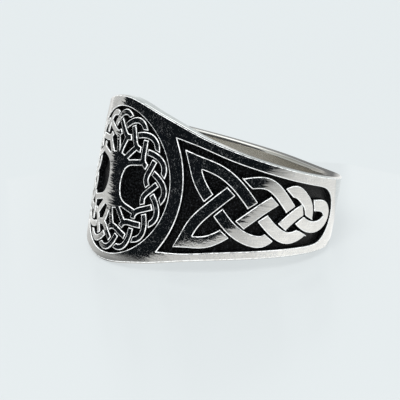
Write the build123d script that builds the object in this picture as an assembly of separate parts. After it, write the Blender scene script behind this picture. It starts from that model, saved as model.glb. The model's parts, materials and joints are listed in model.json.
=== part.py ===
from build123d import *
from collections import namedtuple
import math
import os

# A wide celtic knot ring, cast in one piece.
#
# It is modelled standing on its finger axis, which is Z, with the middle of the wide
# front facing -Y. A place on the outer face is given by its arc, the length round the
# outer face from the middle of the front towards +X, and its height along the finger
# axis. At the end the ring is laid on its side, on its front edge and its back edge.

# Driving sizes, millimetres and degrees
bore_diameter = 19.1
wall_thickness = 1.45
front_width = 14.9
back_width = 5.46
crown_drop = 0.22          # how far the wide front's edges lie under the middle of the outer face
outer_edge_rounding = 0.15
bore_edge_rounding = 0.35
bore_allowance = 0.02      # metal left on the bore's wall until it is cut to a true round hole
relief_depth = 0.5
relief_drop = 0.1          # how far the relief lies below the middle of the ring's width
edge_rim_width = 0.85      # along both edges of the ring, up to the sunk fields
medallion_rim_width = 1.2  # between the round field at the front and the middle of a panel's near side
panel_start_rounding = 9.5 # radius of a panel's near side, which goes round the medallion
panel_end_angle = 128.0    # from the middle of the front to the far end of a knot panel
panel_end_length = 3.4     # of a panel's rounded far end
knot_strand_width = 1.05
branch_width = 0.48        # of the tree's branches and roots and of the plait round it
crossing_gap = 0.22        # beside a strand that passes over another

# Worked out from them
bore_radius = bore_diameter / 2
outer_radius = bore_radius + wall_thickness
floor_radius = outer_radius - relief_depth
uncut_bore_radius = bore_radius - bore_allowance
medallion_radius = front_width / 2 - edge_rim_width
panel_start_arc = medallion_radius + medallion_rim_width
panel_end_arc = outer_radius * math.radians(panel_end_angle)
panel_corner_turn = 32.8   # of a panel's near corners, in degrees along its near side's rounding

# How the ring narrows from front to back: the angle from the middle of the front, and
# the share of the difference between the front's and the back's width that is left.
Taper = namedtuple("Taper", "angle share")
tapers = [
    Taper(angle=0, share=1.0),
    Taper(angle=25, share=0.838),
    Taper(angle=50, share=0.573),
    Taper(angle=75, share=0.373),
    Taper(angle=100, share=0.229),
    Taper(angle=125, share=0.131),
    Taper(angle=150, share=0.059),
    Taper(angle=180, share=0.0),
]

# The knot of one side panel. Along runs from 0 at the medallion's rim to 1 at the
# panel's far end, and height is a share of the panel's half height there.
Place = namedtuple("Place", "along height")
knot_places = {
    "upper corner": Place(along=0.027, height=0.730),
    "upper corner leg": Place(along=0.074, height=0.414),
    "upper corner back": Place(along=0.173, height=0.712),
    "lower corner": Place(along=0.046, height=-0.760),
    "lower corner leg": Place(along=0.084, height=-0.432),
    "lower corner back": Place(along=0.161, height=-0.764),
    "first crossing": Place(along=0.173, height=0.000),
    "upper second crossing": Place(along=0.287, height=0.500),
    "lower second crossing": Place(along=0.293, height=-0.470),
    "middle crossing": Place(along=0.415, height=0.000),
    "upper third crossing": Place(along=0.543, height=0.490),
    "lower third crossing": Place(along=0.540, height=-0.500),
    "last middle crossing": Place(along=0.648, height=0.020),
    "upper end crossing": Place(along=0.740, height=0.285),
    "lower end crossing": Place(along=0.749, height=-0.310),
    "lower first bend": Place(along=0.396, height=-0.705),
    "lower first bend end": Place(along=0.474, height=-0.735),
    "upper first bend": Place(along=0.352, height=0.655),
    "upper first bend end": Place(along=0.444, height=0.740),
    "lower last bend": Place(along=0.620, height=-0.665),
    "lower last bend end": Place(along=0.688, height=-0.600),
    "upper last bend": Place(along=0.626, height=0.700),
    "upper last bend end": Place(along=0.692, height=0.550),
    "end loop top": Place(along=0.842, height=0.355),
    "end loop shoulder": Place(along=0.905, height=0.240),
    "end loop tip": Place(along=0.932, height=0.000),
    "end loop heel": Place(along=0.892, height=-0.260),
    "end loop bottom": Place(along=0.824, height=-0.365),
}

# The knot's one closed strand, in two smooth runs between its sharp corners. Along it,
# the strand passes over and under its crossings in turn, starting over.
knot_runs = [
    ["upper corner", "upper corner back", "upper second crossing", "middle crossing",
     "lower third crossing", "lower last bend", "lower last bend end", "lower end crossing",
     "upper end crossing", "upper last bend end", "upper last bend", "upper third crossing",
     "middle crossing", "lower second crossing", "lower corner back", "lower corner"],
    ["lower corner", "lower corner leg", "first crossing", "upper second crossing",
     "upper first bend", "upper first bend end", "upper third crossing", "last middle crossing",
     "lower end crossing", "end loop bottom", "end loop heel", "end loop tip",
     "end loop shoulder", "end loop top", "upper end crossing", "last middle crossing",
     "lower third crossing", "lower first bend end", "lower first bend",
     "lower second crossing", "first crossing", "upper corner leg", "upper corner"],
]

# The tree in the medallion and the plait of three strands that rings it. All lengths are
# shares of the medallion's radius, across and up from its middle. The trunk's side and
# the branches are given for the right upper quarter, which is mirrored down into roots.
plait_strands = 3
plait_loops = 16
plait_middle = 0.775
plait_wave = 0.15
Spot = namedtuple("Spot", "across up")
trunk_side = [Spot(0.15, 0.0), Spot(0.185, 0.16), Spot(0.28, 0.31)]
trunk_top = Spot(0.0, 0.38)
Branch = namedtuple("Branch", "tip_angle route")
branches = [
    Branch(tip_angle=78.75, route=[Spot(0.01, 0.26), Spot(0.05, 0.45)]),
    Branch(tip_angle=56.25, route=[Spot(0.06, 0.22), Spot(0.20, 0.37)]),
    Branch(tip_angle=33.75, route=[Spot(0.10, 0.12), Spot(0.25, 0.275), Spot(0.39, 0.315)]),
]

# How far the tools that cut the relief reach past the outer face, as shares of its
# radius. What stays raised reaches further than the field it stands in.
field_reach = 0.12
raised_reach = 0.15


def half_height(angle):
    """Half the ring's width at an angle from the middle of the front, smoothly between the rows."""
    angle = abs((angle + 180) % 360 - 180)
    mirrored_front = Taper(-tapers[1].angle, tapers[1].share)
    mirrored_back = Taper(360 - tapers[-2].angle, tapers[-2].share)
    rows = [mirrored_front, *tapers, mirrored_back]
    row = max(i for i in range(1, len(rows) - 2) if rows[i].angle <= angle)
    before, start, end, after = rows[row - 1:row + 3]
    length = end.angle - start.angle
    start_slope = (end.share - before.share) / (end.angle - before.angle) * length
    end_slope = (after.share - start.share) / (after.angle - start.angle) * length
    t = (angle - start.angle) / length
    share = (
        (2 * t**3 - 3 * t**2 + 1) * start.share
        + (t**3 - 2 * t**2 + t) * start_slope
        + (3 * t**2 - 2 * t**3) * end.share
        + (t**3 - t**2) * end_slope
    )
    return (back_width + share * (front_width - back_width)) / 2


def outer_face_radius(height):
    """How far the crowned outer face lies from the finger axis at a height above the middle."""
    half_width = front_width / 2
    crown_radius = (half_width**2 + crown_drop**2) / (2 * crown_drop)
    return outer_radius - crown_radius + math.sqrt(crown_radius**2 - height**2)


def arc_angle(arc):
    """The angle round the ring, in degrees, of an arc on the outer face."""
    return math.degrees(arc / outer_radius)


def round_middle(radius, turn):
    """The (arc, height) point at a turn, in degrees, round the middle of the front."""
    return radius * math.cos(math.radians(turn)), radius * math.sin(math.radians(turn))


def wall_section(angle):
    """The wall cut through at an angle: a crowned outside, a straight bore and four rounded edges."""
    turn = math.radians(angle)
    half = half_height(angle)
    shoulder = half - outer_edge_rounding
    lip = half - bore_edge_rounding
    outer_bend = outer_edge_rounding * (1 - math.sqrt(0.5))
    bore_bend = bore_edge_rounding * (1 - math.sqrt(0.5))

    def at(radius, height):
        return Vector(radius * math.sin(turn), -radius * math.cos(turn), height)

    upper_outer = [
        at(outer_face_radius(half) - outer_edge_rounding, half),
        at(outer_face_radius(half) - outer_bend, half - outer_bend),
        at(outer_face_radius(shoulder), shoulder),
    ]
    upper_bore = [
        at(uncut_bore_radius, lip),
        at(uncut_bore_radius + bore_bend, half - bore_bend),
        at(uncut_bore_radius + bore_edge_rounding, half),
    ]
    lower_outer = [Vector(point.X, point.Y, -point.Z) for point in upper_outer[::-1]]
    lower_bore = [Vector(point.X, point.Y, -point.Z) for point in upper_bore[::-1]]
    return Wire([
        Edge.make_line(lower_bore[-1], upper_bore[0]),
        Edge.make_three_point_arc(*upper_bore),
        Edge.make_line(upper_bore[-1], upper_outer[0]),
        Edge.make_three_point_arc(*upper_outer),
        Edge.make_three_point_arc(upper_outer[-1], at(outer_radius, 0), lower_outer[0]),
        Edge.make_three_point_arc(*lower_outer),
        Edge.make_line(lower_outer[-1], lower_bore[0]),
        Edge.make_three_point_arc(*lower_bore),
    ])


def ring_body():
    """The plain ring: its wall's sections joined round one side and mirrored, and the hole cut true."""
    step = 15
    run = Solid.make_loft([wall_section(angle) for angle in range(-step, 181 + step, step)])
    width = outer_radius * 4
    half = run & Box(width, width, width, align=(Align.MIN, Align.CENTER, Align.CENTER))
    return half + mirror(half, about=Plane.YZ) - Cylinder(bore_radius, width)


def radial_walls(sides, facing, reach):
    """A solid whose walls run straight to the finger axis from an outline on the outer face.

    The outline is a ring of sides, each a list of (arc, height) points, and facing is
    the angle of its middle.
    """
    turn = math.radians(facing)
    outward = Vector(math.sin(turn), -math.cos(turn), 0)
    sideways = Vector(math.cos(turn), math.sin(turn), 0)
    wires = []
    for distance in (outer_radius * (1 - 3 * reach), outer_radius * (1 + reach)):
        edges = []
        for side in sides:
            points = [
                outward * distance
                + sideways * distance * math.tan(arc / outer_radius - turn)
                + Vector(0, 0, height)
                for arc, height in side
            ]
            edges.append(Edge.make_line(*points) if len(points) == 2 else Edge.make_spline(points))
        wires.append(Wire(edges))
    return Solid.make_loft(wires, ruled=True)


def flat_line(points, directions=None):
    """A smooth line, or a straight one, through (arc, height) points."""
    vectors = [Vector(arc, height, 0) for arc, height in points]
    if len(vectors) == 2 and not directions:
        return Edge.make_line(*vectors)
    return Edge.make_spline(vectors, tangents=directions)


def beside(line, distance):
    """Points beside a centre line, at a distance to its left, or to its right if negative."""
    samples = 9
    points = []
    for i in range(samples):
        middle = line.position_at(i / (samples - 1))
        along = line.tangent_at(i / (samples - 1))
        points.append((middle.X - along.Y * distance, middle.Y + along.X * distance))
    return points


def start_moved(points, stop, inward):
    """A side of a strand that now starts at another point: what lay before that is dropped."""
    near = 0.12
    kept = list(points)
    while (Vector(*kept[0]) - stop).dot(inward) < near:
        kept.pop(0)
    return [(stop.X, stop.Y), *kept]


def stop_short(end, inward, corner, half_width, over):
    """Where one side of a strand stops, a gap short of the strand that passes over its end."""
    away = Vector(-over.Y, over.X, 0)
    if away.dot(inward) < 0:
        away = away * -1
    shorter_by = (half_width + crossing_gap - corner.dot(away)) / inward.dot(away)
    return end + corner + inward * shorter_by


def strand_outline(lines, width, over_start=None, over_end=None):
    """The outline of a flat strand along centre lines that meet in sharp corners.

    Where another strand passes over its start or its end, that strand's direction is
    given and the outline stops short of it.
    """
    sides = []
    for half_width in (width / 2, -width / 2):
        side = [beside(line, half_width) for line in lines]
        for i in range(len(lines) - 1):
            into = lines[i].tangent_at(1)
            out = lines[i + 1].tangent_at(0)
            mitre = Vector(-into.Y - out.Y, into.X + out.X, 0) * (half_width / (1 + into.dot(out)))
            corner = lines[i].position_at(1) + mitre
            side[i] = start_moved(side[i][::-1], corner, into * -1)[::-1]
            side[i + 1] = start_moved(side[i + 1], corner, out)
        if over_start:
            start = lines[0].position_at(0)
            inward = lines[0].tangent_at(0)
            corner = Vector(*side[0][0]) - start
            side[0] = start_moved(
                side[0], stop_short(start, inward, corner, width / 2, over_start), inward
            )
        if over_end:
            end = lines[-1].position_at(1)
            inward = lines[-1].tangent_at(1) * -1
            corner = Vector(*side[-1][-1]) - end
            side[-1] = start_moved(
                side[-1][::-1], stop_short(end, inward, corner, width / 2, over_end), inward
            )[::-1]
        sides.append(side)
    left, right = sides
    start_cap = [right[0][0], left[0][0]]
    end_cap = [left[-1][-1], right[-1][-1]]
    return [start_cap, *left, end_cap, *[side[::-1] for side in right[::-1]]]


def trunk_outline():
    """The trunk, waisted at the middle and flaring up into the branches and down into the roots."""
    size = medallion_radius
    upper = [(size * spot.across, size * spot.up) for spot in trunk_side]
    lower = [(arc, -height) for arc, height in upper[:0:-1]]
    right = lower + upper
    left = [(-arc, height) for arc, height in right[::-1]]
    top = [right[-1], (size * trunk_top.across, size * trunk_top.up), left[0]]
    bottom = [left[-1], (size * trunk_top.across, -size * trunk_top.up), right[0]]
    return [right, top, left, bottom]


def branch_outline(branch, across, up):
    """A branch or a root, from inside the trunk to a loop of the plait's inner side."""
    size = medallion_radius
    tip = round_middle(size * (plait_middle - plait_wave), branch.tip_angle)
    route = [(size * spot.across, size * spot.up) for spot in branch.route]
    line = flat_line([(arc * across, height * up) for arc, height in [*route, tip]])
    return strand_outline([line], branch_width)


def plait_point(turn, phase):
    """A point of a plaited strand at a turn round the medallion. The phase tells which strand."""
    wave = plait_wave * math.cos(math.radians(turn * plait_loops / plait_strands + phase))
    return round_middle(medallion_radius * (plait_middle + wave), turn)


def plait_direction(turn, phase):
    """The direction of a plaited strand at a turn round the medallion."""
    step = 0.5
    before = Vector(*plait_point(turn - step, phase))
    after = Vector(*plait_point(turn + step, phase))
    return (after - before).normalized()


def plait_outlines():
    """The visible lengths of the plait, each over one crossing and under the next at both ends.

    A wave of a strand is a full turn long. It goes under other strands a third and five
    sixths of the way along, and the strand over it is a third of a wave ahead.
    """
    third = 360 / plait_strands
    outlines = []
    for loop in range(plait_loops):
        phase = -loop * third
        for start in (third, third + 180):
            waves = [start + 180 * step / 8 for step in range(9)]
            turns = [(wave - phase) * plait_strands / plait_loops for wave in waves]
            line = flat_line([plait_point(turn, phase) for turn in turns])
            over_start = plait_direction(turns[0], phase + third)
            over_end = plait_direction(turns[-1], phase + third)
            outlines.append(strand_outline([line], branch_width, over_start, over_end))
    return outlines


def medallion_relief():
    """What is sunk round the tree at the front."""
    quarters = []
    for start in (0, 90, 180, 270):
        quarters.append([round_middle(medallion_radius, start + turn) for turn in range(0, 91, 15)])
    outlines = [trunk_outline()]
    for branch in branches:
        for across in (1, -1):
            outlines.append(branch_outline(branch, across, 1))
            outlines.append(branch_outline(branch, across, -1))
    outlines += plait_outlines()
    return sunk(quarters, outlines, 0)


def panel_half_height(arc):
    """Half the height of the sunk knot panel, inside the edge rims."""
    return half_height(arc_angle(arc)) - edge_rim_width


def panel_outline():
    """The sunk knot panel: the medallion's rim, the two edge rims and a round far end."""
    steps = 6
    rim = []
    for i in range(steps + 1):
        arc, height = round_middle(panel_start_rounding, panel_corner_turn * (2 * i / steps - 1))
        rim.append((panel_start_arc - panel_start_rounding + arc, height))
    end_start = panel_end_arc - panel_end_length
    top = [rim[-1]]
    for i in range(1, steps + 1):
        arc = rim[-1][0] + (end_start - rim[-1][0]) * i / steps
        top.append((arc, panel_half_height(arc)))
    end = []
    for turn in range(90, -91, -30):
        along, up = round_middle(1, turn)
        end.append((end_start + panel_end_length * along, panel_half_height(end_start) * up))
    bottom = [(arc, -height) for arc, height in top[::-1]]
    return [rim, top, end, bottom]


def on_panel(place):
    """The arc and height of a place of the knot."""
    arc = panel_start_arc + place.along * (panel_end_arc - panel_start_arc)
    return arc, place.height * panel_half_height(arc)


def run_direction(points, i):
    """The direction of a run at one of its places, from the places before and after it."""
    before = Vector(*points[max(i - 1, 0)])
    after = Vector(*points[min(i + 1, len(points) - 1)])
    return (after - before).normalized()


def knot_outlines():
    """The outlines of the knot's visible lengths, each from under one crossing to under another."""
    Step = namedtuple("Step", "name point direction")
    lengths = [[]]
    over = {}
    passes_over = True
    for names in knot_runs:
        points = [on_panel(knot_places[name]) for name in names]
        line = []
        for i, name in enumerate(names):
            line.append(Step(name, points[i], run_direction(points, i)))
            if "crossing" in name:
                if passes_over:
                    over[name] = line[-1].direction
                else:
                    lengths[-1].append(line)
                    lengths.append([])
                    line = line[-1:]
                passes_over = not passes_over
        lengths[-1].append(line)
    lengths[0] = lengths.pop() + lengths[0]
    outlines = []
    for length in lengths:
        lines = []
        for line in length:
            lines.append(flat_line([step.point for step in line], [line[0].direction, line[-1].direction]))
        over_start = over[length[0][0].name]
        over_end = over[length[-1][-1].name]
        outlines.append(strand_outline(lines, knot_strand_width, over_start, over_end))
    return outlines


def panel_relief():
    """What is sunk round the knot of the panel on the +X side."""
    middle = (panel_start_arc + panel_end_arc) / 2
    return sunk(panel_outline(), knot_outlines(), arc_angle(middle))


def sunk(field, outlines, facing):
    """The metal taken away from a field, down to the relief's floor, round what stays raised."""
    height = front_width * 2
    shell = Cylinder(outer_radius * 1.05, height) - Cylinder(floor_radius, height)
    walls = radial_walls(field, facing, field_reach) & shell
    raised = [radial_walls(outline, facing, raised_reach) for outline in outlines]
    return Pos(0, 0, -relief_drop) * walls.cut(*raised)


def resting_tilt():
    """How far the ring leans back, in degrees, lying on its front's bore edge and its back's outer edge."""
    front = uncut_bore_radius + bore_edge_rounding
    back = outer_face_radius(half_height(180)) - outer_edge_rounding
    run = front + back
    rise = half_height(0) - bore_edge_rounding - half_height(180) + outer_edge_rounding
    lift = bore_edge_rounding - outer_edge_rounding
    return math.degrees(math.atan(rise / run) + math.asin(lift / math.hypot(run, rise)))


panel = panel_relief()
ring = ring_body() - panel - mirror(panel, about=Plane.YZ) - medallion_relief()
leaning = Rotation(-resting_tilt(), 0, 0) * ring
box = leaning.bounding_box()
finger_centre = Vector(-box.center().X, -box.center().Y, -box.min.Z)
ring_band = Pos(finger_centre) * leaning

tilt = math.radians(resting_tilt())
print(f"ring {ring_band.volume:.1f} mm3, {len(ring_band.solids())} solid, valid {ring_band.is_valid}")
print(f"finger hole centre {finger_centre.Y:.3f}, {finger_centre.Z:.3f}, leaning {resting_tilt():.3f} degrees")
print(f"finger axis 0, {math.sin(tilt):.5f}, {math.cos(tilt):.5f}")
os.makedirs("parts", exist_ok=True)
export_step(ring_band, "parts/ring_band.step")
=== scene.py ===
# %% [markdown]
# # A wide celtic knot ring
# The ring is cast silver. Its face was cut down to a black floor, and what was left
# standing is a tree in a plait at the front and a knot on each shoulder. The tops are
# polished, so they mirror the studio, and every edge has a thin bright line.
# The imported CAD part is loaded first. It fixes the ring's place and size, and all that is
# made here is set on it.

# %% Load the ring's frame
import json
import math
from collections import namedtuple

import bmesh
import bpy
import numpy as np
from mathutils import Euler, Matrix, Vector, geometry


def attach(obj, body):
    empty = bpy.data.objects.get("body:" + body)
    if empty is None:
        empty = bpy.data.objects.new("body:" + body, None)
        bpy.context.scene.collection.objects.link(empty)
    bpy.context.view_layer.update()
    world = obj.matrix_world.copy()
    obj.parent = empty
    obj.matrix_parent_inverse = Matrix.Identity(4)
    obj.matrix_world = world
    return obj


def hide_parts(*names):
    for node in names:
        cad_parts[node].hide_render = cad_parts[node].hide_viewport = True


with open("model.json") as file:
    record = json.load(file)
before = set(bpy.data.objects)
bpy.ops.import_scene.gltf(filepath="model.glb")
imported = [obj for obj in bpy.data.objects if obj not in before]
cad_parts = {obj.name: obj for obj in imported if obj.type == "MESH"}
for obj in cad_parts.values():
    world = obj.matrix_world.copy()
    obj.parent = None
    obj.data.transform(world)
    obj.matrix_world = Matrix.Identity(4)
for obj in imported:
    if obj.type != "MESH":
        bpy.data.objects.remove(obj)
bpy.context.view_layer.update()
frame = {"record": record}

hole = frame["record"]["mounts"][0]
finger_centre = Vector(hole["pos_m"])
leaning = math.atan2(hole["axis"][1], hole["axis"][2])
print(f"the ring leans back {math.degrees(leaning):.1f} degrees")

# %% [markdown]
# ## The ring's sizes
# A ring is measured by its hole, its wall and its width. All sizes are in millimetres here
# and become metres when the mesh is placed. The ring is made standing on its finger axis,
# with the wide front facing -Y. A place on the outer face is an arc, the length round the
# face from the middle of the front, and a height along the finger axis.

# %% Sizes of the ring and its relief
MM = 0.001
bore_radius = hole["dims"]["r_mm"]
wall_thickness = 1.45
outer_radius = bore_radius + wall_thickness
front_width = 14.9
back_width = 5.46
crown_drop = 0.22
outer_edge_rounding = 0.2
bore_edge_rounding = 0.35
relief_depth = 0.5
relief_drop = 0.1
edge_rim_width = 0.85
medallion_rim_width = 1.2
panel_start_rounding = 9.5
panel_end_angle = 128.0
panel_end_length = 3.4
knot_strand_width = 0.99
branch_width = 0.48
knot_gap = 0.28
plait_gap = 0.22
medallion_radius = front_width / 2 - edge_rim_width
panel_start_arc = medallion_radius + medallion_rim_width
panel_end_arc = outer_radius * math.radians(panel_end_angle)
panel_corner_turn = 32.8
print(f"outside {2 * outer_radius:.1f} mm, hole {2 * bore_radius:.1f} mm")

# %% [markdown]
# ## How the ring narrows
# A cast ring is filed to a taper that has no corners. A few widths are known, from the
# front to the back, and a cubic between each two of them, with the slope of its
# neighbours, joins them without a kink. The outer face is crowned: across the ring's width
# it follows a very flat circle.

# %% Half width and crown
def cubic(t, start, end, start_slope, end_slope):
    """A curve between two values with two slopes, at shares t of the way."""
    return (
        (2 * t**3 - 3 * t**2 + 1) * start + (t**3 - 2 * t**2 + t) * start_slope
        + (3 * t**2 - 2 * t**3) * end + (t**3 - t**2) * end_slope
    )


taper_angles = np.array([-25, 0, 25, 50, 75, 100, 125, 150, 180, 210])
taper_shares = np.array([0.838, 1.0, 0.838, 0.573, 0.373, 0.229, 0.131, 0.059, 0.0, 0.059])


def half_height(angle):
    """Half the ring's width at angles from the middle of the front."""
    angle = np.abs((np.asarray(angle, float) + 180) % 360 - 180)
    row = np.searchsorted(taper_angles, angle, side="right") - 1
    row = np.clip(row, 1, len(taper_angles) - 3)
    start, end = taper_angles[row], taper_angles[row + 1]
    length = end - start
    low, high = taper_shares[row], taper_shares[row + 1]
    low_slope = (high - taper_shares[row - 1]) / (end - taper_angles[row - 1]) * length
    high_slope = (taper_shares[row + 2] - low) / (taper_angles[row + 2] - start) * length
    share = cubic((angle - start) / length, low, high, low_slope, high_slope)
    return (back_width + share * (front_width - back_width)) / 2


crown_radius = ((front_width / 2) ** 2 + crown_drop**2) / (2 * crown_drop)


def face_radius(height):
    """How far the crowned outer face lies from the finger axis."""
    return outer_radius - crown_radius + np.sqrt(crown_radius**2 - height**2)


def face_slope(height):
    """How fast that radius changes with the height."""
    return -height / np.sqrt(crown_radius**2 - height**2)


def angle_of(arc):
    return np.degrees(arc / outer_radius)


print("half widths at 0, 90 and 180 degrees:", half_height([0, 90, 180]).round(2))

# %% [markdown]
# ## Lines with a width
# The ornament is drawn with a few points for each line. A draughtsman would bend a thin
# strip of wood through them. The cubic spline does the same: it passes through every point
# and keeps its bend even. A strand is such a line with a width, mitred where the line has
# a sharp corner, and cut off a small gap before a strand that passes over it.

# %% Smooth lines through a few points
Line = namedtuple("Line", "points ways")


def unit(vectors):
    return vectors / np.linalg.norm(vectors, axis=-1, keepdims=True)


def smooth_line(points, start_way=None, end_way=None, step=0.08):
    """Points and directions along a spline through the given points."""
    p = np.array(points, float)
    gaps = np.linalg.norm(np.diff(p, axis=0), axis=1)
    count = len(p)
    table = np.zeros((count, count))
    wanted = np.zeros((count, 2))
    for i in range(1, count - 1):
        table[i, i - 1:i + 2] = gaps[i], 2 * (gaps[i - 1] + gaps[i]), gaps[i - 1]
        back, ahead = (p[i] - p[i - 1]) / gaps[i - 1], (p[i + 1] - p[i]) / gaps[i]
        wanted[i] = 3 * (gaps[i] * back + gaps[i - 1] * ahead)
    for end, near, way in ((0, 1, start_way), (-1, -2, end_way)):
        table[end, end] = 1 if way is not None else 2
        table[end, near] = 0 if way is not None else 1
        run = (p[1] - p[0]) / gaps[0] if end == 0 else (p[-1] - p[-2]) / gaps[-1]
        wanted[end] = way if way is not None else 3 * run
    slopes = np.linalg.solve(table, wanted)
    found, ways = [], []
    for i in range(count - 1):
        last = i == count - 2
        t = np.linspace(0, 1, max(2, round(gaps[i] / step)) + 1)[: None if last else -1, None]
        a, b, h = p[i], p[i + 1], gaps[i]
        found.append(cubic(t, a, b, h * slopes[i], h * slopes[i + 1]))
        ways.append(
            (6 * t**2 - 6 * t) * (a - b) / h + (3 * t**2 - 4 * t + 1) * slopes[i]
            + (3 * t**2 - 2 * t) * slopes[i + 1]
        )
    return Line(np.concatenate(found), unit(np.concatenate(ways)))


# %% Outlines of strands
def to_the_left(ways):
    return np.stack([-ways[..., 1], ways[..., 0]], axis=-1)


def start_moved(points, stop, inward):
    """A side of a strand that starts at another point: what lay before that is dropped."""
    near = 0.03
    kept = list(points)
    while (kept[0] - stop) @ inward < near:
        kept.pop(0)
    return np.array([stop, *kept])


def stop_short(end, inward, corner, half_width, gap, over):
    """Where one side of a strand stops, a gap short of the strand that passes over its end."""
    away = to_the_left(over)
    if away @ inward < 0:
        away = -away
    return end + corner + inward * (half_width + gap - corner @ away) / (inward @ away)


def strand_outline(lines, width, gap=0.0, over_start=None, over_end=None):
    """The outline of a strand along lines that meet in sharp corners."""
    sides = []
    for half_width in (width / 2, -width / 2):
        side = [line.points + to_the_left(line.ways) * half_width for line in lines]
        for i in range(len(lines) - 1):
            into, out = lines[i].ways[-1], lines[i + 1].ways[0]
            mitre = to_the_left(into + out) * half_width / (1 + into @ out)
            corner = lines[i].points[-1] + mitre
            side[i] = start_moved(side[i][::-1], corner, -into)[::-1]
            side[i + 1] = start_moved(side[i + 1], corner, out)
        for end, over, turn in ((0, over_start, 1), (-1, over_end, -1)):
            if over is not None:
                spot, inward = lines[end].points[end], lines[end].ways[end] * turn
                stop = stop_short(spot, inward, side[end][end] - spot, width / 2, gap, over)
                side[end] = start_moved(side[end][::turn], stop, inward)[::turn]
        sides.append(np.concatenate(side))
    return np.concatenate([sides[0], sides[1][::-1]])


def closed_outline(sides):
    """An outline of smooth sides that meet in corners."""
    return np.concatenate([smooth_line(side).points[:-1] for side in sides])


straight = strand_outline([smooth_line([(0, 0), (1, 0)])], 1)
print("a straight strand's outline has", len(straight), "points")

# %% [markdown]
# ## The knot on each shoulder
# This is a traditional interlace: one closed strand with two sharp corners at the
# medallion and a round loop at the far end, which passes over and under itself in turn.
# Its places are shares of the panel, so that it narrows as the ring does. Each visible
# length runs from under one crossing to under another and becomes one outline.

# %% Places of the knot
upper_and_lower_places = {
    "corner": [(0.027, 0.73), (0.046, -0.76)],
    "corner leg": [(0.074, 0.414), (0.084, -0.432)],
    "corner back": [(0.173, 0.712), (0.161, -0.764)],
    "second crossing": [(0.287, 0.5), (0.293, -0.47)],
    "third crossing": [(0.543, 0.49), (0.54, -0.5)],
    "end crossing": [(0.74, 0.285), (0.749, -0.31)],
    "first bend": [(0.352, 0.655), (0.396, -0.705)],
    "first bend end": [(0.444, 0.74), (0.474, -0.735)],
    "last bend": [(0.626, 0.7), (0.62, -0.665)],
    "last bend end": [(0.692, 0.55), (0.688, -0.6)],
}
knot_places = {
    "first crossing": (0.173, 0.0),
    "middle crossing": (0.415, 0.0),
    "last middle crossing": (0.648, 0.02),
    "end loop top": (0.842, 0.355),
    "end loop shoulder": (0.905, 0.24),
    "end loop tip": (0.932, 0.0),
    "end loop heel": (0.892, -0.26),
    "end loop bottom": (0.824, -0.365),
}
for name, (upper, lower) in upper_and_lower_places.items():
    knot_places[f"upper {name}"], knot_places[f"lower {name}"] = upper, lower
knot_runs = [
    ["upper corner", "upper corner back", "upper second crossing", "middle crossing",
     "lower third crossing", "lower last bend", "lower last bend end", "lower end crossing",
     "upper end crossing", "upper last bend end", "upper last bend", "upper third crossing",
     "middle crossing", "lower second crossing", "lower corner back", "lower corner"],
    ["lower corner", "lower corner leg", "first crossing", "upper second crossing",
     "upper first bend", "upper first bend end", "upper third crossing", "last middle crossing",
     "lower end crossing", "end loop bottom", "end loop heel", "end loop tip",
     "end loop shoulder", "end loop top", "upper end crossing", "last middle crossing",
     "lower third crossing", "lower first bend end", "lower first bend",
     "lower second crossing", "first crossing", "upper corner leg", "upper corner"],
]
print("the knot has", len(knot_places), "places")


# %% The panel's outline
def round_middle(radius, turn):
    """The (arc, height) point at a turn, in degrees, round the middle of the front."""
    a = math.radians(turn)
    return np.array([radius * math.cos(a), radius * math.sin(a)])


def panel_half_height(arc):
    return half_height(angle_of(arc)) - edge_rim_width


def panel_outline():
    """The sunk panel: the medallion's rim, the two edge rims and a round far end."""
    steps = 6
    rounding_middle = np.array([panel_start_arc - panel_start_rounding, 0])
    turns = np.linspace(-panel_corner_turn, panel_corner_turn, steps + 1)
    rim = [rounding_middle + round_middle(panel_start_rounding, turn) for turn in turns]
    end_start = panel_end_arc - panel_end_length
    arcs = np.linspace(rim[-1][0], end_start, steps + 1)
    top = [rim[-1]] + [np.array([arc, panel_half_height(arc)]) for arc in arcs[1:]]
    end = []
    for turn in range(90, -91, -30):
        along, up = round_middle(1, turn)
        end.append((end_start + panel_end_length * along, panel_half_height(end_start) * up))
    bottom = [point * (1, -1) for point in top[::-1]]
    return closed_outline((rim, top, end, bottom))


print("the panel's outline has", len(panel_outline()), "points")


# %% The knot's outlines
def on_panel(place):
    """The (arc, height) point of a named place of the knot."""
    along, height = knot_places[place]
    arc = panel_start_arc + along * (panel_end_arc - panel_start_arc)
    return np.array([arc, height * panel_half_height(arc)])


def knot_outlines():
    """The outlines of the knot's visible lengths."""
    lengths, over, passes_over = [[]], {}, True
    for names in knot_runs:
        points = [on_panel(name) for name in names]
        last = len(points) - 1
        ways = [unit(points[min(i + 1, last)] - points[max(i - 1, 0)]) for i in range(last + 1)]
        start = 0
        for i, name in enumerate(names):
            if "crossing" not in name:
                continue
            if passes_over:
                over[name] = ways[i]
            else:
                piece = smooth_line(points[start:i + 1], ways[start], ways[i])
                lengths[-1].append((names[start], names[i], piece))
                lengths.append([])
                start = i
            passes_over = not passes_over
        piece = smooth_line(points[start:], ways[start], ways[last])
        lengths[-1].append((names[start], names[last], piece))
    lengths[0] = lengths.pop() + lengths[0]
    return [
        strand_outline([line for *_, line in length], knot_strand_width, knot_gap,
                       over[length[0][0]], over[length[-1][1]])
        for length in lengths
    ]


knot = knot_outlines()
print(f"the knot has {len(knot)} visible lengths")

# %% [markdown]
# ## The tree in its plait
# The medallion holds a tree whose roots mirror its branches, inside a ring plaited from
# three strands, as a sailor's Turk's head knot is. Each strand is a wave round the middle,
# and the three follow each other a third of a wave apart. So one formula, turned round the
# middle loop by loop, gives every visible length, and only the tree is drawn with points.

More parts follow.
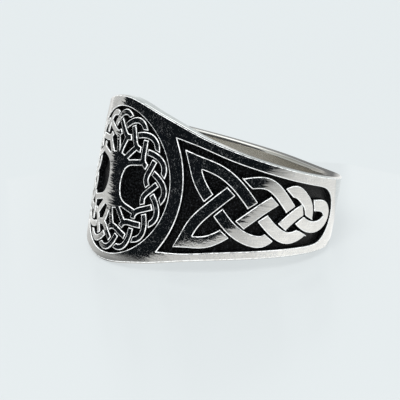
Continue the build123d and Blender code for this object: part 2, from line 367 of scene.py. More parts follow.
# %% The medallion's outlines
plait_strands = 3
plait_loops = 16
plait_middle = 0.775
plait_wave = 0.15
plait_line_points = 37
trunk_side = [(0.15, 0.0), (0.185, 0.16), (0.28, 0.31)]
trunk_top = (0.0, 0.38)
branches = [
    (78.75, [(0.01, 0.26), (0.05, 0.45)]),
    (56.25, [(0.06, 0.22), (0.20, 0.37)]),
    (33.75, [(0.10, 0.12), (0.25, 0.275), (0.39, 0.315)]),
]


def plait_line(start, phase):
    """Half a wave of a plaited strand. The phase, in degrees, tells which strand."""
    wave_turns = start + np.linspace(0, 180, plait_line_points) - phase
    turns = np.radians(wave_turns * plait_strands / plait_loops)
    return turns, plaited(turns, phase)


def plaited(turns, phase):
    """Places and directions of a plaited strand at turns round the medallion."""
    wave = np.cos(turns * plait_loops / plait_strands + math.radians(phase))
    radii = medallion_radius * (plait_middle + plait_wave * wave)
    points = np.stack([radii * np.cos(turns), radii * np.sin(turns)], axis=1)
    return Line(points, unit(np.gradient(points, axis=0)))


def medallion_outlines():
    """The trunk, the branches and roots, and the plait's visible lengths."""
    upper = [medallion_radius * np.array(spot) for spot in trunk_side]
    right = [point * (1, -1) for point in upper[:0:-1]] + upper
    left = [point * (-1, 1) for point in right[::-1]]
    top = [right[-1], medallion_radius * np.array(trunk_top), left[0]]
    bottom = [point * (1, -1) for point in top[::-1]]
    outlines = [closed_outline((right, top, left, bottom))]
    for tip_angle, spots in branches:
        tip = round_middle(medallion_radius * (plait_middle - plait_wave), tip_angle)
        route = [medallion_radius * np.array(spot) for spot in spots] + [tip]
        for across in (1, -1):
            for up in (1, -1):
                line = smooth_line([point * (across, up) for point in route])
                outlines.append(strand_outline([line], branch_width))
    third = 360 / plait_strands
    for loop in range(plait_loops):
        for start in (third, third + 180):
            turns, line = plait_line(start, -loop * third)
            over = plaited(turns, (1 - loop) * third)
            outlines.append(strand_outline([line], branch_width, plait_gap,
                                           over.ways[0], over.ways[-1]))
    return outlines


medallion = medallion_outlines()
print(f"the medallion has {len(medallion)} raised pieces")

# %% [markdown]
# ## How far into the sunk field
# Everything that follows needs one number for each place of the face: how far it lies
# inside the sunk field, measured from the nearest wall. It is negative on what stays
# raised. With it, a rounded edge, a leaning wall and a soft foot are all curves of that
# one number, however tangled the ornament is. The number is worked out on a fine grid.

# %% Distances on a grid
FAR = 0.3
Field = namedtuple("Field", "low pitch into")


def signed_distance(outline, x, y):
    """Distance of grid points from an outline, negative inside it, and FAR away from it."""
    found = np.full(x.shape, FAR)
    (x0, y0), (x1, y1) = outline.min(0) - FAR, outline.max(0) + FAR
    rows = (y[:, 0] > y0) & (y[:, 0] < y1)
    cols = (x[0] > x0) & (x[0] < x1)
    window = np.ix_(rows, cols)
    px, py = x[window], y[window]
    nearest = np.full(px.shape, FAR**2)
    inside = np.zeros(px.shape, bool)
    for (ax, ay), (bx, by) in zip(outline, np.roll(outline, -1, axis=0)):
        dx, dy = bx - ax, by - ay
        t = np.clip(((px - ax) * dx + (py - ay) * dy) / (dx * dx + dy * dy + 1e-12), 0, 1)
        nearest = np.minimum(nearest, (px - ax - t * dx) ** 2 + (py - ay - t * dy) ** 2)
        if ay != by:
            inside ^= ((ay > py) != (by > py)) & (px < ax + dx * (py - ay) / dy)
    found[window] = np.where(inside, -1, 1) * np.sqrt(nearest)
    return found


def sunk_field(pocket, raised, pitch=0.03):
    """How far grid points lie inside a sunk pocket and away from what stays raised in it."""
    low, high = pocket.min(0) - FAR, pocket.max(0) + FAR
    x, y = np.meshgrid(*(np.arange(*ends, pitch) for ends in zip(low, high)))
    into = -signed_distance(pocket, x, y)
    for outline in raised:
        into = np.minimum(into, signed_distance(outline, x, y))
    return Field(low, pitch, into)


circle = np.array([round_middle(medallion_radius, turn) for turn in range(0, 360, 2)])
drop = np.array([0, relief_drop])
medallion_field = sunk_field(circle - drop, [outline - drop for outline in medallion])
panel_field = sunk_field(panel_outline() - drop, [outline - drop for outline in knot])
print("grids:", medallion_field.into.shape, panel_field.into.shape)

# %% [markdown]
# ## Contours
# A grid fine enough to show a crisp diagonal edge would need millions of faces. A map
# maker's answer is a contour, a line along which the number is the same: few points hold it,
# and the triangles between two contours are the bevel or the wall. Each grid cell that a
# contour crosses joins two of its sides. Following these joints from cell to cell gives
# closed lines, and points that hardly bend them are dropped.

# %% Trace a contour and thin it out
def contours(field, level):
    """Closed lines of points along which a field has a level."""
    over = field.into > level
    cells = over[:-1, :-1] + 2 * over[:-1, 1:] + 4 * over[1:, 1:] + 8 * over[1:, :-1]
    joins = {}
    for i, j in np.argwhere((cells > 0) & (cells < 15)):
        a, b, c, d = over[i, j], over[i, j + 1], over[i + 1, j + 1], over[i + 1, j]
        south, east, north, west = (0, i, j), (1, i, j + 1), (0, i + 1, j), (1, i, j)
        changes = (south, a != b), (east, b != c), (north, c != d), (west, d != a)
        sides = [side for side, crossed in changes if crossed]
        if len(sides) == 4 and (field.into[i:i + 2, j:j + 2].mean() > level) == a:
            sides = sides[1:] + sides[:1]
        for first, second in zip(sides[::2], sides[1::2]):
            joins.setdefault(first, []).append(second)
            joins.setdefault(second, []).append(first)
    lines = []
    while joins:
        start, (following, _) = next(iter(joins.items()))
        line, before, here = [start], start, following
        while here != start:
            line.append(here)
            one, other = joins[here]
            before, here = here, one if other == before else other
        for key in line:
            del joins[key]
        kind, rows, cols = np.array(line).T
        low = field.into[rows, cols]
        high = field.into[rows + kind, cols + 1 - kind]
        share = (level - low) / (high - low)
        places = np.stack([cols + share * (1 - kind), rows + share * kind], axis=1)
        lines.append(field.low + places * field.pitch)
    return lines


def thinned(line, slack=0.003, longest=0.4):
    """The same closed line without the points that hardly bend it."""
    far = int(np.argmax(np.linalg.norm(line - line[0], axis=1)))
    looped = np.concatenate([line, line[:1]])
    keep, spans = {0, far}, [(0, far), (far, len(line))]
    while spans:
        start, end = spans.pop()
        if end - start < 2:
            continue
        a, b = looped[start], looped[end]
        along = b - a
        size = np.linalg.norm(along) + 1e-9
        between = looped[start + 1:end] - a
        off = np.abs(between[:, 0] * along[1] - between[:, 1] * along[0]) / size
        if off.max() < slack and size < longest:
            continue
        middle = start + 1 + (int(off.argmax()) if off.max() >= slack else len(off) // 2)
        keep.add(middle)
        spans += [(start, middle), (middle, end)]
    return looped[sorted(keep)]


wall_lines = [thinned(line) for line in contours(panel_field, 0.0)]
print("the contour at the panel's wall:", sum(len(line) for line in wall_lines), "points")

# %% [markdown]
# ## The shape of an edge
# On the real ring a raised strand has a polished flat top, a small rounding worn by
# fingers, a wall that leans out a little so that the casting left its mould, and a soft
# foot on the floor. The steps below give the depth and the slope at a few distances.

# %% Steps down an edge
Step = namedtuple("Step", "into depth slope")
edge_softness = 0.11
edge_start = -0.06
wall_lean = 80
foot_softness = 0.08
edge_turns = (0, 27, 54, wall_lean)
foot_turns = (wall_lean, 40, 0)


def edge_steps():
    """Distance into the field, depth and slope, from the flat top to the flat floor."""
    steps = []
    for turn in edge_turns:
        a = math.radians(turn)
        into = edge_start + edge_softness * math.sin(a)
        steps.append(Step(into, edge_softness * (1 - math.cos(a)), math.tan(a)))
    a = math.radians(wall_lean)
    foot_height = foot_softness * (1 - math.cos(a))
    wall_height = relief_depth - foot_height - steps[-1].depth
    foot_start = steps[-1].into + wall_height / math.tan(a)
    for turn in foot_turns:
        b = math.radians(turn)
        into = foot_start + foot_softness * (math.sin(a) - math.sin(b))
        steps.append(Step(into, relief_depth - foot_softness * (1 - math.cos(b)), math.tan(b)))
    return steps


edge = edge_steps()
for step in edge:
    print(f"{step.into:+.3f} mm in: {step.depth:.3f} deep, slope {step.slope:.2f}")

# %% [markdown]
# ## The outer face as one skin
# The outer face is unrolled flat, and all contours, both edges and a loose scatter of
# points are joined by a constrained Delaunay triangulation, which keeps every given line
# as an edge and makes the fattest triangles it can. It also fills the hollows of the
# outline, where the ring narrows, with triangles that touch one rim alone, and those are
# left off. The left panel is the right one mirrored.

# %% Points and lines of the unrolled face
STATIONS = 288
station_arcs = np.linspace(-math.pi, math.pi, STATIONS + 1) * outer_radius
shoulders = half_height(angle_of(station_arcs)) - outer_edge_rounding

places, levels, lines = [], [], []


def add_line(points, level, closed=True):
    """Puts a line of points into the face, and joins them."""
    first = len(places)
    places.extend(points)
    levels.extend([level] * len(points))
    count = len(points)
    joints = count if closed else count - 1
    lines.extend((first + i, first + (i + 1) % count) for i in range(joints))


seam_steps = 12
add_line(np.stack([station_arcs, -shoulders], axis=1), 0, closed=False)
add_line(np.stack([station_arcs, shoulders], axis=1), 0, closed=False)
bottom_start, top_start = 0, STATIONS + 1
seam_start = len(places)
for side in (0, STATIONS):
    for i in range(1, seam_steps):
        places.append(np.array([station_arcs[side], shoulders[side] * (2 * i / seam_steps - 1)]))
        levels.append(0)
    first = len(places) - (seam_steps - 1)
    chain = [bottom_start + side, *range(first, len(places)), top_start + side]
    lines.extend(zip(chain, chain[1:]))

for number, step in enumerate(edge):
    for line in contours(medallion_field, step.into):
        add_line(thinned(line), number)
    for line in contours(panel_field, step.into):
        thin = thinned(line)
        add_line(thin, number)
        add_line(thin * (-1, 1), number)
print(len(places), "points on lines")


# %% Loose points between the lines
def into_at(arc, height):
    """How far places of the face lie inside a sunk field, and which way that number grows."""
    into = np.full(arc.shape, -FAR)
    ways = np.zeros(arc.shape + (2,))
    for field, side in ((medallion_field, 1), (panel_field, 1), (panel_field, -1)):
        x = (arc * side - field.low[0]) / field.pitch
        y = (height - field.low[1]) / field.pitch
        rows, cols = field.into.shape
        here = (x > 2) & (y > 2) & (x < cols - 3) & (y < rows - 3)
        x, y = x[here], y[here]
        i, j = y.astype(int), x.astype(int)
        fy, fx = y - i, x - j
        f = field.into
        a, b, c, d = (f[i + m, j + n] for m, n in ((0, 0), (0, 1), (1, 0), (1, 1)))
        value = (a * (1 - fx) + b * fx) * (1 - fy) + (c * (1 - fx) + d * fx) * fy
        grow_x = f[i, j + 2] - f[i, j - 1] + f[i + 1, j + 2] - f[i + 1, j - 1]
        grow_y = f[i + 2, j] - f[i - 1, j] + f[i + 2, j + 1] - f[i - 1, j + 1]
        way = np.stack([side * grow_x, grow_y], axis=1)
        way /= np.linalg.norm(way, axis=1, keepdims=True) + 1e-9
        nearer = value > into[here]
        spots = np.flatnonzero(here)[nearer]
        into.flat[spots] = value[nearer]
        ways.reshape(-1, 2)[spots] = way[nearer]
    return into, ways


spacing = 0.45
clear_of_edge = 0.1
clear_of_foot = 0.08
clear_of_rim = 0.15
clear_of_seam = 0.2
arcs = np.arange(station_arcs[0] + spacing, station_arcs[-1] - spacing / 2, spacing)
heights = np.arange(-front_width / 2, front_width / 2, spacing)
arc, height = np.meshgrid(arcs, heights)
arc[1::2] += spacing / 2
arc, height = arc.ravel(), height.ravel()
into, _ = into_at(arc, height)
free = (into < edge[0].into - clear_of_edge) | (into > edge[-1].into + clear_of_foot)
free &= np.abs(height) < half_height(angle_of(arc)) - outer_edge_rounding - clear_of_rim
free &= np.abs(arc) < station_arcs[-1] - clear_of_seam
for x, y, on_floor in zip(arc[free], height[free], into[free] > 0):
    places.append(np.array([x, y]))
    levels.append(len(edge) - 1 if on_floor else 0)
print(len(places), "points with the loose ones")

# %% Join them with triangles
inside_outline, same_point = 1, 1e-6
flat = geometry.delaunay_2d_cdt([Vector(place) for place in places], lines, [],
                                inside_outline, same_point, True)
face_places, _, face_triangles, sources, *_ = flat
face_places = np.array([tuple(place) for place in face_places])
came_from = np.array([source[0] for source in sources])
rim_of = np.zeros(len(places), int)
rim_of[bottom_start:bottom_start + STATIONS + 1] = 1
rim_of[top_start:top_start + STATIONS + 1] = 2
face_triangles = np.array(face_triangles)
rims = rim_of[came_from][face_triangles]
outside = (rims[:, 0] > 0) & (rims == rims[:, :1]).all(axis=1)
face_triangles = face_triangles[~outside]
print(len(face_triangles), "triangles inside the outline,", outside.sum(), "outside it left off")

# %% [markdown]
# ## Bend the skin round the finger
# The flat skin is wrapped round the finger axis, and each point sinks by its depth. The
# direction that each point faces is known exactly, from the crown and from the slope of
# its edge, and it is kept with the mesh. A polished face mirrors its surroundings, and even
# a slightly wrong direction would show as a dent.

# %% From the unrolled face to the ring
levels = np.array(levels)
place_of = np.empty(len(levels), int)
place_of[came_from] = np.arange(len(came_from))
level = levels[came_from]
depth = np.array([step.depth for step in edge])[level]
slope = np.array([step.slope for step in edge])[level]


def around(arc):
    """Outward and sideways directions at an arc."""
    turn = arc / outer_radius
    sin, cos, zero = np.sin(turn), np.cos(turn), np.zeros_like(turn)
    return np.stack([sin, -cos, zero], axis=-1), np.stack([cos, sin, zero], axis=-1)


UP = np.array([0.0, 0.0, 1.0])
arc, height = face_places.T
_, ways = into_at(arc, height)
outward, sideways = around(arc)
skin_points = outward * (face_radius(height) - depth)[:, None] + UP * height[:, None]
skin_facing = unit(
    outward + sideways * (slope * ways[:, 0])[:, None]
    + UP * (slope * ways[:, 1] - face_slope(height))[:, None]
)
deepest = outer_radius - np.linalg.norm(skin_points[:, :2], axis=1).min()
print(f"deepest point {deepest:.3f} mm under the middle of the crown")

# %% [markdown]
# ## Edges, sides and bore
# The rest of the ring is one section of the wall swept round: a rounded outer edge, a flat
# side, the softer edge of the bore, and the bore itself. Its rows start and end on the
# skin's own edge points, so that the mesh is closed.

# %% Sweep the wall's section
outer_edge_rows, bore_edge_rows, bore_rows = 7, 9, 11


def edge_section(half):
    """Rows of radius, height, and the outward and upward share of the facing."""
    shoulder = half - outer_edge_rounding
    lean = np.arctan(-face_slope(shoulder))
    middle_radius = face_radius(shoulder) - outer_edge_rounding * np.cos(lean)
    middle_height = shoulder - outer_edge_rounding * np.sin(lean)
    rows = []
    for share in np.linspace(0, 1, outer_edge_rows):
        a = lean + share * (np.pi / 2 - lean)
        rows.append((middle_radius + outer_edge_rounding * np.cos(a),
                     middle_height + outer_edge_rounding * np.sin(a), np.cos(a), np.sin(a)))
    side = middle_height + outer_edge_rounding
    bend_radius = bore_radius + bore_edge_rounding
    same = np.ones_like(half)
    for a in np.linspace(np.pi / 2, np.pi, bore_edge_rows):
        rows.append((same * (bend_radius + bore_edge_rounding * np.cos(a)),
                     side - bore_edge_rounding * (1 - np.sin(a)),
                     same * np.cos(a), same * np.sin(a)))
    return rows


half = half_height(angle_of(station_arcs[:-1]))
upper = np.array(edge_section(half))
lower = upper[::-1] * np.array([1, -1, 1, -1])[:, None]
bore = np.repeat(upper[-1:], bore_rows, axis=0)
bore[:, 1] *= np.linspace(1, -1, bore_rows + 2)[1:-1, None]
bore[:, 3] = 0
section = np.concatenate([upper, bore, lower])
radius, height, facing_out, facing_up = section.transpose(1, 0, 2)


def change_round(rows):
    """How fast rows of values change round the ring."""
    return (np.roll(rows, -1, 1) - np.roll(rows, 1, 1)) / (4 * math.pi / STATIONS)


facing_aside = -(facing_out * change_round(radius) + facing_up * change_round(height)) / radius
outward, sideways = around(np.broadcast_to(station_arcs[:-1], radius.shape))
rim_points = outward * radius[..., None] + UP * height[..., None]
rim_facing = unit(
    outward * facing_out[..., None] + sideways * facing_aside[..., None]
    + UP * facing_up[..., None]
)
print("rows in the section:", len(section))

# %% Number the points of both
number = len(skin_points) + np.arange(rim_points[1:-1, :, 0].size).reshape(-1, STATIONS)
top_row = place_of[top_start:top_start + STATIONS]
bottom_row = place_of[bottom_start:bottom_start + STATIONS]
number = np.concatenate([[top_row], number, [bottom_row]])

same_as = np.arange(number[-2, -1] + 1)
same_as[place_of[top_start + STATIONS]] = place_of[top_start]
same_as[place_of[bottom_start + STATIONS]] = place_of[bottom_start]
seam_length = seam_steps - 1
for i in range(seam_length):
    same_as[place_of[seam_start + seam_length + i]] = place_of[seam_start + i]

corner = face_places[face_triangles]
first, second = corner[:, 1] - corner[:, 0], corner[:, 2] - corner[:, 0]
backward = first[:, 0] * second[:, 1] < first[:, 1] * second[:, 0]
face_triangles[backward] = face_triangles[backward][:, ::-1]
beside = np.roll(number, -1, axis=1)
quads = np.stack([number[:-1], beside[:-1], beside[1:], number[1:]], axis=-1).reshape(-1, 4)
print(len(face_triangles), "triangles and", len(quads), "quads to join")

# %% One mesh of skin and section
def new_object(name, data):
    """An object that is put into the scene."""
    made = bpy.data.objects.new(name, data)
    bpy.context.scene.collection.objects.link(made)
    return made


points = np.concatenate([skin_points, rim_points[1:-1].reshape(-1, 3)])
facing = np.concatenate([skin_facing, rim_facing[1:-1].reshape(-1, 3)])
sunk = np.concatenate([depth / relief_depth, np.zeros(number[1:-1].size)])
# The ring's outer edge rows: the material paints them white, rubbed edges with a painted
# highlight.
worn = np.zeros(len(sunk))
worn[number[[1, -2]]] = 1
used = np.unique(same_as)
renumber = np.empty(len(points), int)
renumber[used] = np.arange(len(used))
faces = [tuple(renumber[same_as[face]]) for face in face_triangles.tolist() + quads.tolist()]

ring_mesh = bpy.data.meshes.new("ring")
lean = np.array(Matrix.Rotation(-leaning, 3, "X"))
laid = points[used] @ lean.T * MM + np.array(finger_centre)
ring_mesh.from_pydata(laid.tolist(), [], faces, shade_flat=False)
ring_mesh.normals_split_custom_set_from_vertices((facing[used] @ lean.T).tolist())
for name, values in (("sunk", sunk), ("worn", worn)):
    ring_mesh.attributes.new(name, "FLOAT", "POINT").data.foreach_set("value", values[used])
ring = new_object("ring", ring_mesh)
check = bmesh.new()
check.from_mesh(ring_mesh)
open_edges = sum(not side.is_manifold for side in check.edges)
volume = check.calc_volume(signed=True) / MM**3
print(f"{len(check.faces)} faces, {open_edges} open edges, volume {volume:.0f} mm3")
check.free()
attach(ring, "root")
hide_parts("ring_band")

# %% [markdown]
# ## Writing shader maths as sums
# A material is a net of nodes, which is hard to read as code. The small class below wraps
# one output of a node, so that a sum written in Python adds the Math nodes for it. Colours
# and directions have methods of their own, because a Math node would turn them grey.

# %% A value in a material
MIX_COLOUR_RESULT = 2


def feed(node, **inputs):
    """Sets a node's sockets, or links values to them. The name i2 means socket number 2."""
    for name, given in inputs.items():
        numbered = name[0] == "i" and name[1:].isdigit()
        socket = node.inputs[int(name[1:]) if numbered else name.replace("_", " ")]
        if isinstance(given, Value):
            node.id_data.links.new(given.socket, socket)
        else:
            socket.default_value = given


class Value:
    """One output of a node, on which sums can be written."""

    def __init__(self, tree, socket):
        self.tree, self.socket = tree, socket

    def node(self, kind, settings=None, output=0, **inputs):
        """A new node: its settings first, then the values or links of its sockets."""
        made = self.tree.nodes.new(kind)
        for name, setting in (settings or {}).items():
            setattr(made, name, setting)
        feed(made, **inputs)
        return Value(self.tree, made.outputs[output])

    def math(self, operation, *others, kind="ShaderNodeMath", output=0):
        """A sum, by the name of its operation."""
        sockets = {f"i{number}": value for number, value in enumerate((self, *others))}
        return self.node(kind, {"operation": operation}, output, **sockets)

    def __add__(self, other):
        return self.math("ADD", other)

    def __mul__(self, other):
        return self.math("MULTIPLY", other)

    def __sub__(self, other):
        return self.math("SUBTRACT", other)

    def __rsub__(self, other):
        return (self * -1) + other

    __radd__ = __add__
    __rmul__ = __mul__

    def vector(self, operation, *others, output=0):
        """A sum on whole places or directions instead of single numbers."""
        return self.math(operation, *others, kind="ShaderNodeVectorMath", output=output)

    def rise(self, start, end):
        """0 below start, 1 above end, and a soft step between."""
        return self.node("ShaderNodeMapRange", {"interpolation_type": "SMOOTHSTEP"},
                         Value=self, From_Min=start, From_Max=end)

    def noise(self, scale, detail=3.0, roughness=0.5):
        """A cloudy number that changes with the place."""
        return self.node("ShaderNodeTexNoise", Vector=self, Scale=scale, Detail=detail,
                         Roughness=roughness)

    def between(self, low, high):
        """A colour between two others, this value being how much of the second."""
        return self.node("ShaderNodeMix", {"data_type": "RGBA"}, MIX_COLOUR_RESULT,
                         Factor=self, i6=low, i7=high)

    def kept(self, name):
        """A number that is kept with the points of the mesh."""
        return self.node("ShaderNodeAttribute", {"attribute_name": name}, "Fac")


def new_material(name):
    """A material with a shader, and the place on the object in millimetres."""
    material = bpy.data.materials.new(name)
    material.use_nodes = True
    tree = material.node_tree
    shader = tree.nodes["Principled BSDF"]
    place = Value(tree, None).node("ShaderNodeTexCoord", output="Object")
    place = place.node("ShaderNodeMapping", {"vector_type": "TEXTURE"}, Vector=place,
                       Location=finger_centre, Rotation=(-leaning, 0, 0), Scale=(MM, MM, MM))
    return material, shader, place


# %% [markdown]
# ## Blackened silver
# Silver is dipped in liver of sulphur, which turns all of it black, and then the tops are
# polished bright again. The black film is left where the cloth didn't reach: on the sandy
# floor and the walls. It could be painted by hand, but the depth is kept with the mesh, so
# the film is read from that. So are the edges: the edges of the relief, and the ring's own
# edges, which have a number of their own, are rubbed, and their bright lines are a painted
# highlight: white, and matt so that they scatter light.

# %% Where the film, the rubbed edges and their painted highlight are
silver, shader, place = new_material("blackened_silver")
sunk_share = place.kept("sunk")
grain = place.noise(7.0, 1.0, 0.6)
patches = place.noise(0.9, 2.0)
sand = place.noise(7.0, 3.0, 0.7)
film = (sunk_share + (grain - 0.5) * 0.1).rise(0.07, 0.17)
rubbed = place.noise(2.6, 1.0).rise(0.36, 0.56) * 0.5 + 0.5
rim_edge = place.kept("worn").rise(0.3, 0.7)
relief_edge = sunk_share.rise(0.0, 0.025) * (1 - sunk_share.rise(0.06, 0.11))
# The edges of the relief and of the rim: partly rubbed, partly a painted highlight, white and
# matt.
edge_wear_and_highlight = (relief_edge + rim_edge) * rubbed
off_axis = place.vector("MULTIPLY", (1, 1, 0)).vector("LENGTH", output="Value")
inside = 1 - off_axis.rise(bore_radius + 0.12, bore_radius + 0.4)
print("film, wear and bore:", len(silver.node_tree.nodes), "nodes")

# %% [markdown]
# ## Lines left by the polish
# The tops were drawn over a polishing wheel, which leaves fine lines round the finger. Each
# line leans a little to one side, so that where the mirror image changes from bright to
# dark its border is combed. A bump map can't do this for such long thin lines without making
# them steep across, so the facing is leaned directly, by a streaky noise. The lines fade
# towards the back and are weak in the bore. The bump only adds the grain and the sand.

# %% Lean the facing, then add the grain
facing = place.node("ShaderNodeNewGeometry", output="Normal")
sideways = facing.vector("CROSS_PRODUCT", tuple(hole["axis"]))
streaks = place.vector("MULTIPLY", (0.8, 0.8, 9.0)).noise(1.0, 3.0, 0.6)
fine_lines = place.vector("MULTIPLY", (0.5, 0.5, 24.0)).noise(1.0, 2.0, 0.5)
towards_front = place.vector("DOT_PRODUCT", (0, -1, 0), output="Value").rise(-9, 0)
strongest_lean = 0.34
aside = (streaks - 0.5) * towards_front * (1 - inside * 0.8) * strongest_lean
leaned = sideways.node("ShaderNodeVectorMath", {"operation": "SCALE"}, i0=sideways, Scale=aside)
combed = facing.vector("ADD", leaned)
relief_height = fine_lines * 0.0003 + grain * 0.0012 + sand * film * 0.06
bumped = place.node("ShaderNodeBump", Strength=1.0, Distance=MM, Height=relief_height,
                    Normal=combed)
print("with the polish:", len(silver.node_tree.nodes), "nodes")

# %% [markdown]
# ## Colours of the metal
# Silver is nearly white, and a little warm. The bore, which no wheel reaches well, is duller.
# Its colour is warmer, and at the back it is painted brown: painted shade, where the inside
# of the ring lies darker. The tops also carry dull specks, in clouds, which stay grey where
# the mirror image is black. Each of them is a mask between two
# colours, and the same masks make the surface rougher and less of a mirror.

# %% The ring's colours
dull_silver, clear_silver = (0.64, 0.64, 0.62, 1), (0.80, 0.80, 0.775, 1)
dull_bore, clear_bore = (0.64, 0.61, 0.56, 1), (0.79, 0.77, 0.725, 1)
bore_shade_brown = (0.20, 0.185, 0.16, 1)
speck_grey = (0.63, 0.64, 0.65, 1)
# Painted highlight: the white that the rubbed edges are painted.
highlight_white = (1, 1, 1, 1)
film_black, film_grey = (0.0005, 0.0005, 0.0005, 1), (0.021, 0.023, 0.026, 1)

mottle = place.noise(1.7, 3.0, 0.65).rise(0.42, 0.68)
specks = grain.rise(0.50, 0.68) * (1 - inside)
at_back = place.vector("DOT_PRODUCT", (0, 1, 0), output="Value").rise(7.0, 9.2)
# Painted shade: the back of the bore is painted darker brown, where the inside of the ring lies
# in shade.
painted_bore_shade = at_back * (off_axis.rise(bore_radius, bore_radius + 0.15) * 0.45 + 0.35)
metal_tone = (patches * 0.4 + fine_lines * 0.6).rise(0.3, 0.7).between(dull_silver, clear_silver)
top_tone = edge_wear_and_highlight.between(specks.between(metal_tone, speck_grey), highlight_white)
bore_tone = painted_bore_shade.between(patches.between(dull_bore, clear_bore), bore_shade_brown)
film_tone = sand.rise(0.5, 0.72).between(film_black, film_grey)
tone = film.between(inside.between(top_tone, bore_tone), film_tone)

# %% The ring's gloss
film_roughness = 0.32
# The painted edge highlight is made matt here, so that it scatters light as white.
scattered = specks * (0.01 + mottle * 0.085) + edge_wear_and_highlight * 0.95 + inside * 0.05
metal_share = (1 - film) * (1 - scattered)
roughness = 0.03 + specks * 0.05 + edge_wear_and_highlight * 0.35 + inside * 0.12
roughness = roughness + film * (film_roughness - roughness)
feed(shader, Base_Color=tone, Roughness=roughness, Metallic=metal_share, Normal=bumped,
     Specular_IOR_Level=0.11)
ring_mesh.materials.append(silver)
print("material", silver.name, "has", len(silver.node_tree.nodes), "nodes")

# %% [markdown]
# ## The floor and the studio
# Metal shows its surroundings more than itself. A jeweller's photographer works in a white
# tent and sets white, grey and black papers round a ring, until the tops go bright or dark
# where they should and the relief stands out. The floor here is one pale sheet. The papers
# glow in their own tones, so that the lamps don't change them, and only the metal sees them.

# %% Floor
def solid_sheet(name, points, faces):
    """A sheet that belongs to the studio."""
    mesh = bpy.data.meshes.new(name)
    mesh.from_pydata(points, [], faces)
    sheet = new_object(name, mesh)
    return sheet


reach = 1.5
corners = [(-reach, -reach, 0), (reach, -reach, 0), (reach, reach, 0), (-reach, reach, 0)]
floor = solid_sheet("floor", corners, [(0, 1, 2, 3)])
floor_material, floor_shader, _ = new_material("white_acrylic")
feed(floor_shader, Base_Color=(0.12, 0.125, 0.125, 1), Roughness=0.20, Specular_IOR_Level=0.02,
     Emission_Color=(0.925, 0.98, 1.0, 1), Emission_Strength=0.625)
floor.data.materials.append(floor_material)
print(f"the floor is {2 * reach:.0f} m wide")

# %% Paper's material
paper_material, paper_shader, paper_place = new_material("studio_paper")
paper_black, paper_white = (0, 0.0014, 0.003, 1), (1, 1, 0.985, 1)
paper_tone = paper_place.kept("tone").between(paper_black, paper_white)
feed(paper_shader, Base_Color=(0, 0, 0, 1), Roughness=1.0, Specular_IOR_Level=0.0,
     Emission_Color=paper_tone, Emission_Strength=1.45)
behind = paper_place.node("ShaderNodeNewGeometry", output="Backfacing")
clear = paper_place.node("ShaderNodeBsdfTransparent")
front = Value(paper_material.node_tree, paper_shader.outputs["BSDF"])
shown = paper_place.node("ShaderNodeMixShader", Fac=behind, i1=front, i2=clear)
feed(paper_material.node_tree.nodes["Material Output"], Surface=shown)


# %% Paper that only the metal sees
def round_ring(turn, distance, height):
    """A place at a turn from the ring's front, a distance away."""
    a = math.radians(turn)
    return distance * math.sin(a), -distance * math.cos(a), height


def paper(name, rows):
    """A grid of paper that mirrors show from one side. A row has a turn round the ring, its
    points' distances and heights, and their grey tones."""
    across = len(rows[0][1])
    faces = [(i * across + j, i * across + j + 1, (i + 1) * across + j + 1, (i + 1) * across + j)
             for i in range(len(rows) - 1) for j in range(across - 1)]
    points = [round_ring(turn, *spot) for turn, spots, _ in rows for spot in spots]
    sheet = solid_sheet(name, points, faces)
    tone_of_point = sheet.data.attributes.new("tone", "FLOAT", "POINT")
    tone_of_point.data.foreach_set("value", [tone for *_, tones in rows for tone in tones])
    sheet.data.materials.append(paper_material)
    for rays in ("camera", "diffuse", "shadow", "transmission"):
        setattr(sheet, f"visible_{rays}", False)
    print(name, "has", len(faces), "faces")


# %% [markdown]
# ## Where the papers lie and stand
# A crowned top is a curved mirror. Followed back from the camera, a line of sight is
# mirrored at the ring and meets the floor at one turn and one distance. So the lying paper
# is written as a table: at each turn, how far its light part reaches, where the dark part
# begins, and the tones of both. What is mirrored higher up needs papers that stand.

# %% The lying paper
BLACK = 0.004
Station = namedtuple("Station", "turn light_to dark_from near edge beyond",
                     defaults=[BLACK])
paper_stations = [Station(*row) for row in (
    # degrees, two distances in millimetres, and two or three tones
    (-95, 150, 290, 0.42, 0.46, 0.42), (-66, 150, 290, 0.46, 0.46, 0.34),
    (-62, 150, 280, 0.62, 0.5), (-55, 100, 220, 0.52, 0.45), (-50, 55, 140, 0.48, 0.4),
    (-44, 22, 60, 0.46, 0.4), (-36, 17, 24, 0.46, 0.4), (-22, 16, 21, 0.42, 0.34),
    (-16, 18, 34, 0.34, 0.28), (-10, 25, 48, 0.24, 0.22), (-3, 30, 50, 0.2, 0.15),
    (4, 44, 54, 0.2, 0.15), (8, 56, 62, 0.4, 0.26), (14, 70, 76, 0.48, 0.36),
    (30, 90, 96, 0.56, 0.44), (40, 72, 77, 0.6, 0.46), (45, 58, 62, 0.62, 0.46),
    (50, 49, 53, 0.62, 0.48), (60, 41, 45, 0.64, 0.45), (70, 39, 43, 0.66, 0.47),
    (80, 39, 42, 0.68, 0.38), (90, 42, 52, 0.74, 0.41), (100, 46, 76, 0.82, 0.42),
    (108, 44, 86, 0.84, 0.46), (114, 44, 88, 0.82, 0.5), (122, 42, 90, 0.8, 0.54),
    (123, 42, 60, 0.8, 0.56, 0.5), (140, 40, 60, 0.77, 0.58, 0.55),
    (158, 40, 60, 0.75, 0.62, 0.6), (175, 40, 60, 0.59, 0.58, 0.57),
)]
lying_height = 0.0002
lying_start = 0.011
backdrop = 0.3
lying_rows = []
for spot in paper_stations:
    distances = lying_start, spot.light_to * MM, spot.dark_from * MM, backdrop
    tones = spot.near, spot.edge, spot.beyond, spot.beyond
    lying_rows.append((spot.turn, [(distance, lying_height) for distance in distances], tones))
paper("lying_paper", lying_rows)


# %% The standing papers
def stand(rise, distance):
    """The foot and the top of a standing sheet, which reaches as high as a rise in degrees."""
    return [(distance, 0), (distance, distance * math.tan(math.radians(rise)))]


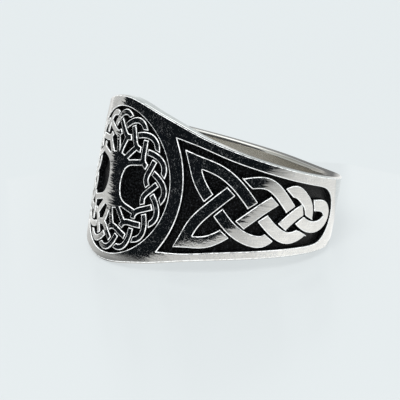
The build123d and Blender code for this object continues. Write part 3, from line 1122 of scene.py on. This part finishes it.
black_rises = {-65: 24, -50: 25, -26: 27, 0: 29, 30: 30, 60: 30, 90: 30, 122: 30}
black_tones = BLACK, BLACK
paper("black_paper", [(turn, stand(rise, backdrop), black_tones)
                      for turn, rise in black_rises.items()])

grey_tones = {-112: 0.66, -95: 0.46, -75: 0.46, -55: 0.46, -40: 0.46, -22: 0.46}
grey_spots = stand(27, backdrop + 0.02)
paper("grey_paper", [(turn, grey_spots, (tone, tone)) for turn, tone in grey_tones.items()])

low_spots = [(0.03, height) for height in (0, 0.0072, 0.0115)]
low_tones = {
    -180: (0.7, 0.7, 0.7), -149: (0.7, 0.7, 0.7), -146.5: (0.12, 0.14, 0.7),
    -130: (0.24, 0.24, 0.7), -105: (0.28, 0.28, 0.7), -80: (0.7, 0.7, 0.7),
}
paper("low_paper", [(turn, low_spots, tones) for turn, tones in low_tones.items()])

hood_spots = [(backdrop * math.cos(rise), backdrop * math.sin(rise))
              for rise in map(math.radians, (30, 45, 60, 78))]
paper("hood", [(turn, hood_spots, [BLACK] * 4) for turn in (10, 35, 58, 90, 125)])

# %% [markdown]
# ## Light
# A pale world lights all from every side, as the tent does. A soft lamp behind the ring
# gives it a faint shadow towards the camera. A second lamp at the front is only for what
# scatters light, the rubbed edges with their painted white highlight and the specks, so the
# mirrors don't show it.

# %% World and lamps
world = bpy.data.worlds.new("tent")
world.use_nodes = True
background = world.node_tree.nodes["Background"]
background.inputs["Color"].default_value = (0.92, 0.985, 1.0, 1)
background.inputs["Strength"].default_value = 0.80
bpy.context.scene.world = world


def soft_lamp(name, size, energy, location):
    """A round lamp that is turned to the ring."""
    lamp = bpy.data.lights.new(name, "AREA")
    lamp.shape, lamp.size, lamp.energy = "DISK", size, energy
    light = new_object(name, lamp)
    light.location = location
    away = Vector(light.location) - finger_centre
    light.rotation_euler = away.to_track_quat("Z", "Y").to_euler()
    print(f"{name} is {away.length:.2f} m away")
    return light


soft_lamp("softbox", 0.35, 0.35, (-0.15, 0.2, 0.45))
front_light = soft_lamp("front_light", 0.2, 1.7, (0.22, -0.2, 0.26))
front_light.visible_glossy = False
bpy.context.scene.view_settings.view_transform = "Standard"

# %% [markdown]
# ## The camera
# The camera was found by laying a tapered ring over the outline in the photograph: a long
# lens, about 30 cm away, a little above the ring and to the right of its front.

# %% Camera
camera_turn, camera_rise, camera_roll = 58.36, 15.46, -0.58
camera_distance = 0.306
camera_aside = (-0.00153, -0.0012)
sensor_width = 36
pixels_for_focal_length = 3377
photo_width = 400

lens = bpy.data.cameras.new("camera")
lens.sensor_width = sensor_width
lens.lens = pixels_for_focal_length / photo_width * sensor_width
camera = new_object("camera", lens)
basis = Euler((math.radians(90 - camera_rise), 0, math.radians(camera_turn))).to_matrix()
basis = basis @ Matrix.Rotation(math.radians(camera_roll), 3, "Z")
moved_away = Matrix.Translation((*camera_aside, camera_distance))
camera.matrix_world = Matrix.Translation(finger_centre) @ basis.to_4x4() @ moved_away
bpy.context.scene.camera = camera
lens.clip_start, lens.clip_end = 0.01, 10
print(f"a {lens.lens:.0f} mm lens, {camera_distance} m from the ring")
